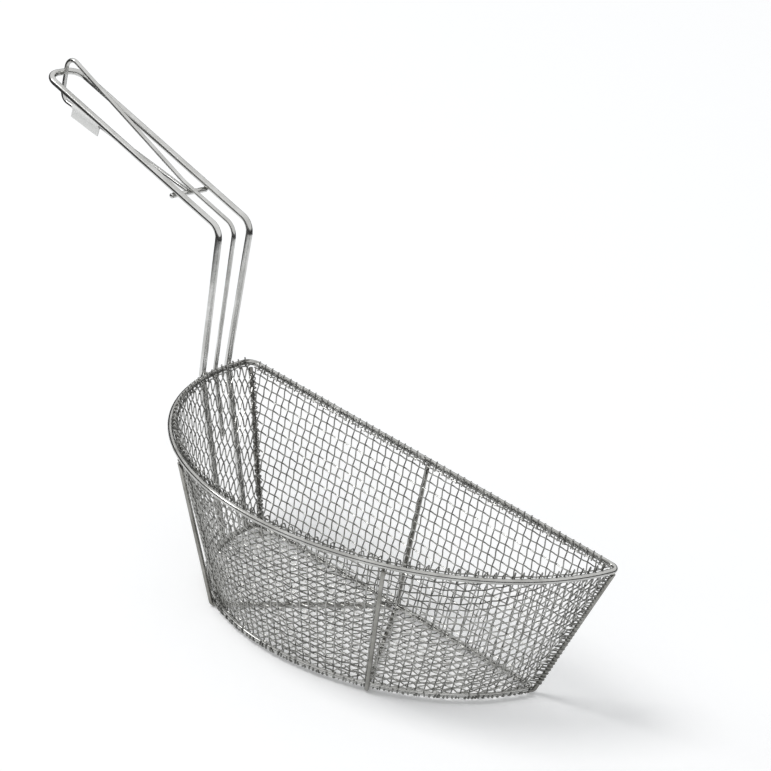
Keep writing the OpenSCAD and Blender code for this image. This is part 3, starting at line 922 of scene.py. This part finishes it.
@dataclass
class Base(WovenWall):
    """The woven base, square to the flat wall."""

    def inside(self, points: Array) -> Array:
        """Whether each point lies between the round wall and the flat wall."""
        s = self.sizes
        radius = np.hypot(points[:, 0], points[:, 1])
        return (radius <= s.base_radius - 2.2) & (points[:, 1] <= -s.lean - 2.0)

    def build(self, finish: Finishes) -> None:
        """Weaves the base.

        Args:
            finish: The basket's finishes.
        """
        s, draft, rng = self.sizes, MeshDraft(), np.random.default_rng(2)
        mid = s.base_z + s.sheet / 2
        count = int(s.base_radius / s.pitch) + 1
        for axis, family in ((0, Family.WARP), (1, Family.WEFT)):
            for i in range(-count, count + 1):
                n = np.arange(-count, count + 0.01, 1 / self.cuts)
                wander = self.uneven * np.sin(n * 0.5 + rng.uniform(0, 6))
                line = i * s.pitch + 1.3 + wander
                z = mid + self.crimp(n, i, family)
                run = n * s.pitch + 1.3
                p = np.c_[line, run, z] if axis == 0 else np.c_[run, line, z]
                for a, b in runs(self.inside(p)):
                    draft.wire(p[a : b + 1], s.mesh_wire)
        draft.build("base_weave", finish.mesh, Slot.MESH, ("base_mesh",))


@dataclass
class FoldedHem:
    """The mesh's cut edge folded over inside the rim, and the ends that grip the base hoop."""

    sizes: BasketSizes
    rise: float = 4.2
    fall: float = 1.8
    thick: float = 2.0
    spacing: float = 6.35
    runners: tuple[tuple[float, float, float], ...] = ((0.9, 1.5, 0.25), (1.2, -2.0, 0.3))
    seam_step: float = 3.3

    def strand(self, rng: np.random.Generator, top: float, back: float) -> list[tuple[float, float]]:
        """One folded wire as distances inwards and up, from the wall over the top and down.

        Args:
            rng: Source of unevenness.
            top: Height of the fold over the rim's centre.
            back: How far the folded end reaches below the rim's centre.

        Returns:
            The wire's places.
        """
        inset = self.sizes.rim_d / 2 + self.sizes.weld + 0.65
        r = self.thick / 2 * rng.uniform(0.75, 1.05)
        path = [(inset, -3.4), (inset, top - r)]
        path += [(inset + r - r * math.cos(a), top - r + r * math.sin(a)) for a in np.linspace(0.5, math.pi - 0.3, 6)]
        path += [(inset + 2 * r + 0.1, (top - back) / 2 - 0.5), (inset + 2 * r - rng.uniform(0, 0.3), -back)]
        return path

    def lay(self, draft: MeshDraft, place, length: float, rng: np.random.Generator) -> None:
        """Lays the folded strands and the wires that run through the fold.

        Args:
            draft: The piece to add to.
            place: Turns distance along, inwards and up into a point.
            length: The edge's length.
            rng: Source of unevenness.
        """
        s = self.sizes
        for i in range(int(length / self.spacing)):
            at = (i + 0.5 + rng.uniform(-0.08, 0.08)) * self.spacing
            lean = rng.uniform(2.4, 3.4)
            top = self.rise + rng.uniform(-0.35, 0.15)
            steps = self.strand(rng, top, self.fall + rng.uniform(-1.2, 0.6))
            m = len(steps)
            p = np.array([place(at + lean * k / m, u, v) for k, (u, v) in enumerate(steps)])
            draft.wire(p, s.mesh_wire, 6)
        n = np.arange(0, length, self.spacing / 3)
        for depth, up, swing in self.runners:
            phase = rng.uniform(0, 6)
            inset = s.rim_d / 2 + s.weld + depth
            p = np.array(
                [
                    place(a, inset + swing * math.cos(math.pi * a / self.spacing + phase), up + 0.3 * math.sin(a * 0.31 + phase))
                    for a in n
                ]
            )
            draft.wire(p, s.mesh_wire, 6)

    def flat_place(self, along: float, inward: float, up: float) -> Array:
        """A point at the flat rim, by distance along it, inwards and up."""
        s = self.sizes
        c, k = math.cos(s.flat_slope), math.sin(s.flat_slope)
        return np.array([along - s.rim_radius + s.corner, -inward * c + up * k, s.rim_z + inward * k + up * c])

    def round_place(self, along: float, inward: float, up: float) -> Array:
        """A point at the round rim, by distance along it, inwards and up."""
        s = self.sizes
        a = math.pi + 0.03 + along / (s.rim_radius - 3)
        c, k = math.cos(s.slope), math.sin(s.slope)
        r = s.rim_radius - inward * c + up * k
        return np.array([r * math.cos(a), r * math.sin(a), s.rim_z + inward * k + up * c])

    def build(self, finish: Finishes) -> None:
        """Builds the two folded edges.

        Args:
            finish: The basket's finishes.
        """
        s = self.sizes
        draft = MeshDraft()
        self.lay(draft, self.flat_place, 2 * (s.rim_radius - s.corner), np.random.default_rng(21))
        draft.build("flat_rim_fold", finish.hem, Slot.MESH, ("flat_rim_hem",))
        draft = MeshDraft()
        self.lay(draft, self.round_place, (math.pi - 0.06) * (s.rim_radius - 3), np.random.default_rng(22))
        draft.build("round_rim_fold", finish.hem, Slot.MESH, ("round_rim_hem",))
        self.build_hoop_grip(finish)
        self.build_post_grips(finish)

    def build_post_grips(self, finish: Finishes) -> None:
        """Builds the mesh wires' ends that are rolled round the two corner posts.

        Args:
            finish: The basket's finishes.
        """
        s, rng, draft = self.sizes, np.random.default_rng(24), MeshDraft()
        wires = FrameWires(s)
        reach = (s.cradle_d + s.mesh_wire) / 2 + 0.05
        for side in (1, -1):
            out = np.array([side, 1.0, 0]) / math.sqrt(2)
            to_flat = np.array([-side, 1.0, 0]) / math.sqrt(2)
            top = wires.corner(side, s.rim_radius, 0.0, s.rim_z)
            low = wires.corner(side, s.base_radius, -s.lean, s.hoop_z) + out * s.hoop_pass
            z = s.hoop_z + 4.0
            while z < s.rim_z - 4.5:
                share = (z - s.hoop_z) / s.depth
                post = low + (top - low) * share
                y = s.flat_y_at(z) - s.mesh_inset / math.cos(s.flat_slope)
                radius = s.radius_at(z) - s.mesh_inset / math.cos(s.slope)
                edge = math.sqrt(radius**2 - y**2)
                turn = math.atan2(y, edge) - rng.uniform(1.4, 2.8) / radius
                tail = rng.uniform(-1.4, 1.4)
                path = [np.array([side * (edge - rng.uniform(1.0, 2.2)), y, z - tail])]
                for a in np.radians(np.linspace(105, -105, 8)):
                    path.append(post + reach * (out * math.cos(a) + to_flat * math.sin(a)))
                path.append(np.array([side * radius * math.cos(turn), radius * math.sin(turn), z + tail]))
                draft.wire(np.array(path), s.mesh_wire, 6)
                z += self.seam_step * rng.uniform(0.75, 1.2)
        draft.build("post_rolled_ends", finish.hem, Slot.MESH, ())

    def build_hoop_grip(self, finish: Finishes) -> None:
        """Builds the cut wire ends that are rolled round the base hoop.

        Args:
            finish: The basket's finishes.
        """
        s, rng, draft = self.sizes, np.random.default_rng(23), MeshDraft()
        ring = half_ring_path(s.base_radius, -s.lean, s.corner, s.hoop_z)
        closed = np.vstack([ring, ring[:1]])
        length = np.r_[0, np.cumsum(np.linalg.norm(np.diff(closed, axis=0), axis=1))]
        r = (s.hoop_d + s.mesh_wire) / 2 - 0.1
        arc_length = length[150]
        at = 1.5
        while at < length[-1]:
            on_arc = at < arc_length
            p = np.array([np.interp(at, length, closed[:, k]) for k in range(3)])
            q = np.array([np.interp(min(at + 1, length[-1]), length, closed[:, k]) for k in range(3)])
            along = unit(q - p)
            outward = np.cross(along, [0, 0, 1])
            turns = rng.uniform(0.5, 0.95) if on_arc else rng.uniform(0.3, 0.55)
            first = math.radians(rng.uniform(150, 200))
            lean = rng.uniform(-1.8, 1.8)
            a = first + np.linspace(0, turns * 2 * math.pi * 0.75, 12)
            radius = r + rng.uniform(0, 0.25)
            loop = [
                p + outward * radius * math.cos(t) + np.array([0, 0, radius * math.sin(t)]) + along * lean * k / 12
                for k, t in enumerate(a)
            ]
            low = min(point[2] for point in loop)
            if low > s.mesh_wire / 2:
                draft.wire(np.array(loop), s.mesh_wire, 6)
            at += rng.uniform(2.0, 3.4) if on_arc else rng.uniform(4.4, 6.8)
        draft.build("hoop_rolled_ends", finish.hem, Slot.MESH, ())


@dataclass
class Welds:
    """Small beads where wires cross, as a resistance weld leaves them."""

    sizes: BasketSizes
    frame: FrameWires
    handle: Handle

    def build(self, finish: Finishes) -> None:
        """Builds the beads.

        Args:
            finish: The basket's finishes.
        """
        s, h, draft = self.sizes, self.handle, MeshDraft()
        spots: list[tuple[Array, Array]] = []
        for angle in (s.front_spread, -s.side_spread):
            top = self.frame.cradle_top(angle)
            spots.append((top + np.array([0, 0, s.cradle_d / 2]), unit(top * [1, 1, 0])))
        flat_top, _ = self.frame.flat_ends()
        spots.append((flat_top + np.array([0, 0, s.cradle_d / 2]), np.array([1.0, 0, 0])))
        for y in (-h.offset - h.width / 2, -h.offset + h.width / 2):
            rim = h.leg_rim(y, h.wire_d)
            inward = -unit(rim * [1, 1, 0])
            spots.append((rim + inward * h.wire_d / 2, np.array([0, 0, 1.0])))
            low = h.leg_low(y, h.wire_d, s.hoop_d, s.hoop_z)
            spots.append((low + inward * h.wire_d / 2, np.array([0, 0, 1.0])))
            bar = h.grip(h.bar_at, -h.wire_d / 2)
            spots.append((np.array([bar[0], y, bar[2]]), np.array([1.0, 0, 0])))
        rim = h.leg_rim(-h.offset, h.inner_d)
        spots.append((rim - unit(rim * [1, 1, 0]) * h.inner_d / 2, np.array([0, 0, 1.0])))
        bar = h.grip(h.bar_at, -h.wire_d / 2 - 0.4)
        spots.append((bar, np.array([1.0, 0, 0])))
        for k, (at, axis) in enumerate(spots):
            draft.blob(at, (1.7, 1.15, 1.15), axis, 40 + k)
        draft.build("weld_beads", finish.weld, Slot.WIRE, ())


@dataclass
class Studio:
    """The floor, the lights and the camera of the photograph."""

    camera_at: tuple[float, float, float] = (1.71103, -2.04175, 1.287931)
    azimuth: float = math.radians(40.7892)
    elevation: float = math.radians(22.9341)
    roll: float = math.radians(10.5433)
    lens: float = 199.306
    flag_level: float = 0.06

    def camera(self) -> None:
        """Places the camera of the photograph."""
        a, e = self.azimuth, self.elevation
        forward = Vector((-math.sin(a) * math.cos(e), math.cos(a) * math.cos(e), -math.sin(e)))
        right = Vector((math.cos(a), math.sin(a), 0))
        up = right.cross(forward)
        c, s = math.cos(self.roll), math.sin(self.roll)
        side, head = right * c + up * s, up * c - right * s
        data = bpy.data.cameras.new("photo_camera")
        data.lens, data.sensor_width, data.sensor_fit = self.lens, 36.0, "HORIZONTAL"
        data.clip_start, data.clip_end = 0.1, 50.0
        made = bpy.data.objects.new("photo_camera", data)
        bpy.context.scene.collection.objects.link(made)
        turn = Matrix((side, head, -forward)).transposed()
        made.matrix_world = Matrix.Translation(self.camera_at) @ turn.to_4x4()
        bpy.context.scene.camera = made

    def white_for_seen_rays(self, t: NodeTree, own: bpy.types.NodeSocket, white: bpy.types.NodeSocket) -> bpy.types.Node:
        """Mixes in white where the camera, or metal, sees the surface.

        Args:
            t: The material's or the world's tree.
            own: The shader for every other ray.
            white: The white shader.

        Returns:
            The mixing node.
        """
        rays = t.node("ShaderNodeLightPath")
        first = t.node(
            "ShaderNodeMath",
            {"operation": "MAXIMUM"},
            _0=rays.outputs["Is Camera Ray"],
            _1=rays.outputs["Is Glossy Ray"],
        )
        seen = t.node(
            "ShaderNodeMath",
            {"operation": "MAXIMUM"},
            _0=first.outputs[0],
            _1=rays.outputs["Is Transmission Ray"],
        )
        return t.node("ShaderNodeMixShader", _0=seen.outputs[0], _1=own, _2=white)

    def world(self) -> None:
        """Makes the even pale surroundings."""
        world = bpy.data.worlds.new("studio")
        bpy.context.scene.world = world
        world.use_nodes = True
        world.node_tree.nodes.clear()
        t = NodeTree(world.node_tree)
        soft = t.node("ShaderNodeBackground", Color=(0.9, 0.92, 0.94, 1), Strength=0.45)
        white = t.node("ShaderNodeBackground", Color=(1, 1, 1, 1), Strength=1.0)
        mixed = self.white_for_seen_rays(t, soft.outputs[0], white.outputs[0])
        t.node("ShaderNodeOutputWorld", Surface=mixed.outputs[0])

    def floor(self) -> None:
        """Makes the pale floor."""
        mesh = bpy.data.meshes.new("floor")
        size = 6.0
        mesh.from_pydata([(-size, -size, -0.0004), (size, -size, -0.0004), (size, size, -0.0004), (-size, size, -0.0004)], [], [(0, 1, 2, 3)])
        piece = bpy.data.objects.new("floor", mesh)
        bpy.context.scene.collection.objects.link(piece)
        material = bpy.data.materials.new("pale_floor")
        material.use_nodes = True
        material.node_tree.nodes.clear()
        t = NodeTree(material.node_tree)
        matte = t.node("ShaderNodeBsdfDiffuse", Color=(0.95, 0.95, 0.95, 1))
        glow = t.node("ShaderNodeEmission", Color=(1, 1, 1, 1), Strength=0.18)
        lifted = t.node("ShaderNodeAddShader", _0=matte.outputs[0], _1=glow.outputs[0])
        mixed = self.white_for_seen_rays(t, matte.outputs[0], lifted.outputs[0])
        t.node("ShaderNodeOutputMaterial", Surface=mixed.outputs[0])
        mesh.materials.append(material)

    def flags(self) -> None:
        """Makes the studio's dark flags all round, which only reflections show."""
        profile = ((0.62, 0.0006), (1.7, 0.0006), (1.7, 0.62))
        around = 48
        points, faces = [], []
        for k in range(around):
            a = 2 * math.pi * k / around
            points += [(r * math.cos(a), r * math.sin(a), z) for r, z in profile]
        for k in range(around):
            p, q = k * len(profile), (k + 1) % around * len(profile)
            faces += [(p + i, q + i, q + i + 1, p + i + 1) for i in range(len(profile) - 1)]
        mesh = bpy.data.meshes.new("dark_flags")
        mesh.from_pydata(points, [], faces)
        piece = bpy.data.objects.new("dark_flags", mesh)
        bpy.context.scene.collection.objects.link(piece)
        material = bpy.data.materials.new("dark_cloth")
        material.use_nodes = True
        material.node_tree.nodes.clear()
        t = NodeTree(material.node_tree)
        rays = t.node("ShaderNodeLightPath")
        clear = t.node("ShaderNodeBsdfTransparent", Color=(1, 1, 1, 1))
        dark = t.node("ShaderNodeEmission", Color=(self.flag_level,) * 3 + (1,), Strength=1.0)
        mixed = t.node("ShaderNodeMixShader", _0=rays.outputs["Is Glossy Ray"], _1=clear.outputs[0], _2=dark.outputs[0])
        t.node("ShaderNodeOutputMaterial", Surface=mixed.outputs[0])
        mesh.materials.append(material)

    def lamp(self, name: str, at: tuple[float, float, float], size: float, power: float) -> None:
        """Adds a square soft light that faces the basket."""
        data = bpy.data.lights.new(name, "AREA")
        data.shape, data.size, data.energy = "SQUARE", size, power
        made = bpy.data.objects.new(name, data)
        bpy.context.scene.collection.objects.link(made)
        made.location = at
        made.rotation_euler = (Vector((0, -0.06, 0.08)) - Vector(at)).to_track_quat("-Z", "Y").to_euler()

    def sun(self, name: str, toward: tuple[float, float, float], spread: float, strength: float) -> None:
        """Adds an even light over the whole floor.

        Args:
            name: The light's name.
            toward: Direction from the floor to the light.
            spread: Angle that the light fills, in degrees, which softens its shadow.
            strength: Its strength.
        """
        data = bpy.data.lights.new(name, "SUN")
        data.angle, data.energy = math.radians(spread), strength
        made = bpy.data.objects.new(name, data)
        bpy.context.scene.collection.objects.link(made)
        made.rotation_euler = Vector(toward).to_track_quat("Z", "Y").to_euler()
        made.visible_glossy = False

    def build(self) -> None:
        """Builds the studio."""
        self.camera()
        self.world()
        self.floor()
        self.flags()
        self.sun("soft_sun", (-0.35, -0.5, 1.0), 26, 1.5)
        self.lamp("left_light", (-1.5, -1.1, 1.2), 0.5, 6)
        bpy.context.scene.view_settings.view_transform = "Standard"


def main() -> None:
    """Loads the solids, dresses them and places the studio."""
    logging.basicConfig(level=logging.INFO, format="%(name)s: %(message)s")
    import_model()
    sizes = BasketSizes()
    finish = Finishes()
    frame_wires = FrameWires(sizes)
    handle = Handle(sizes)
    frame_wires.build(finish)
    handle.build(finish)
    for wall in (FlatWall(sizes), RoundWall(sizes), Base(sizes)):
        wall.build(finish)
    FoldedHem(sizes).build(finish)
    Welds(sizes, frame_wires, handle).build(finish)
    Studio().build()


if __name__ == "__main__":
    main()
